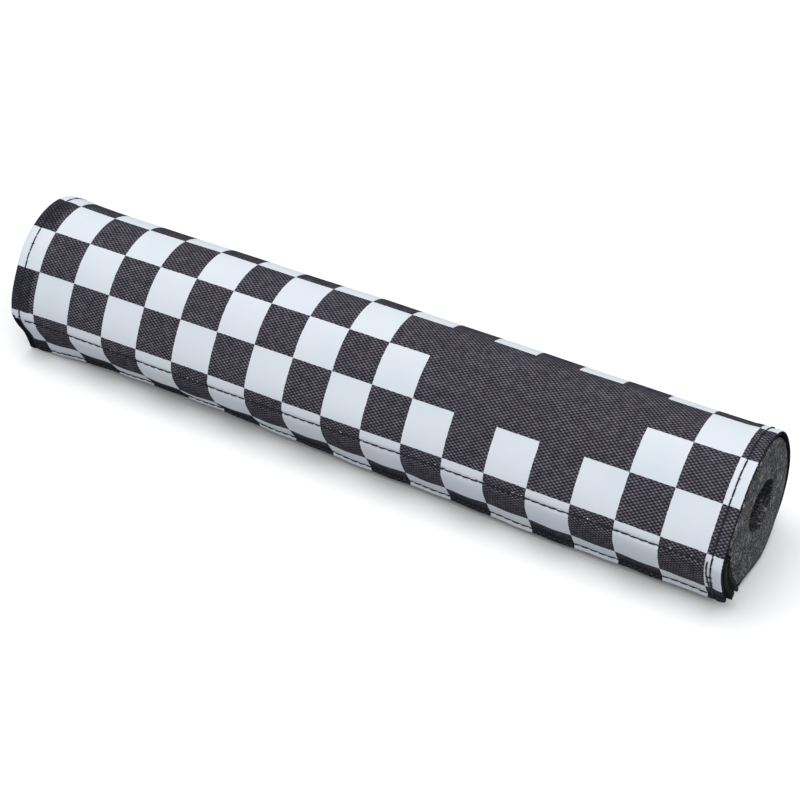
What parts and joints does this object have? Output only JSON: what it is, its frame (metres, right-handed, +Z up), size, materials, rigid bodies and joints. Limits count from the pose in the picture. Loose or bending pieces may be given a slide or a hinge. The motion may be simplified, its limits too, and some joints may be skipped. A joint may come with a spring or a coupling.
{
  "type": "bicycle crossbar pad",
  "caption": "Soft bar pad: a slit foam tube in a checkered wrap-around cloth cover that closes along its length with hook and loop tape.",
  "frame": {"origin": "on the flat underside, straight below the middle of the pad's section, at mid-length", "axes": "+X along the pad, +Z up, -Y towards the side where the closure flap comes down"},
  "size_m": [0.2526, 0.053, 0.0465],
  "materials": {
    "cover_cloth": "woven black cloth printed with white squares",
    "foam": "charcoal closed-cell foam, cut",
    "tape": "black hook and loop tape",
    "thread": "near-black sewing thread"
  },
  "bodies": {
    "root": {"cover": "cover_cloth", "foam_core": "foam", "hook_tape": "tape", "loop_tape": "tape", "hem_stitch_left": "thread", "hem_stitch_right": "thread", "hook_stitch_lower": "thread", "hook_stitch_upper": "thread", "loop_stitch_lower": "thread", "loop_stitch_upper": "thread"}
  },
  "joints": []
}
